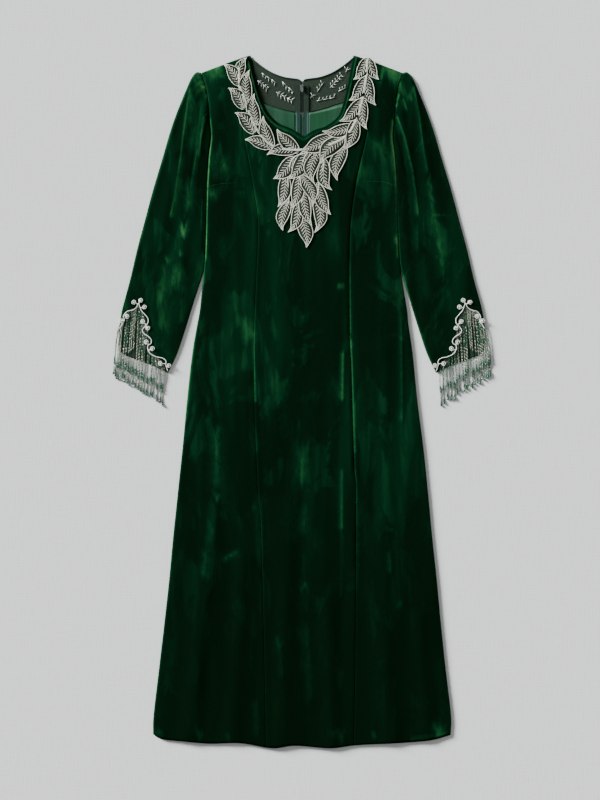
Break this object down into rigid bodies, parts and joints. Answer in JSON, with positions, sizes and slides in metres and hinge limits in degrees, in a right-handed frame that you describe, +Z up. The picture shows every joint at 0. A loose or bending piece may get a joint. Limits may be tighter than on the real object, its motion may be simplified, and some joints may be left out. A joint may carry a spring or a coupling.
{
  "type": "velvet dress",
  "caption": "Long-sleeved green velvet maxi dress laid flat, with corded leaf applique at a V neck and bead fringe in notched cuffs.",
  "frame": {"origin": "under the middle of the dress, on the surface that it lies on", "axes": "+Y from the hem to the neck, +Z up from the surface, +X to the right as the dress is seen from above"},
  "size_m": [0.7556, 1.384, 0.0098],
  "materials": {
    "green_velvet": "crushed nap with soft sheen",
    "grey_green_net": "fine sheer mesh",
    "green_satin": "satin",
    "teal_zip_tape": "woven tape",
    "grey_zip_metal": "dull plated",
    "pale_silver_cord": "silvery cord",
    "fringe_beads": "glossy"
  },
  "bodies": {
    "dress": {"front_centre": "green_velvet", "front_side_left": "green_velvet", "front_side_right": "green_velvet", "back_left": "green_velvet", "back_right": "green_velvet", "sleeve_left": "green_velvet", "sleeve_right": "green_velvet", "yoke_left": "grey_green_net", "yoke_right": "grey_green_net", "lining_left": "green_satin", "lining_right": "green_satin", "zip_tape_left": "teal_zip_tape", "zip_tape_right": "teal_zip_tape", "zip_chain": "teal_zip_tape", "zip_slider": "grey_zip_metal", "leaf_applique": "pale_silver_cord", "cuff_scroll_left": "pale_silver_cord", "cuff_scroll_right": "pale_silver_cord", "cuff_fringe_left": "fringe_beads", "cuff_fringe_right": "fringe_beads"},
    "pull_tab": {"zip_pull": "grey_zip_metal"}
  },
  "joints": [
    {"name": "pull_tab_swing", "type": "hinge", "parent": "dress", "child": "pull_tab", "pos_m": [0, 0.6315, 0.0068], "axis": [-1, 0, 0], "range_deg": [0, 150]}
  ]
}
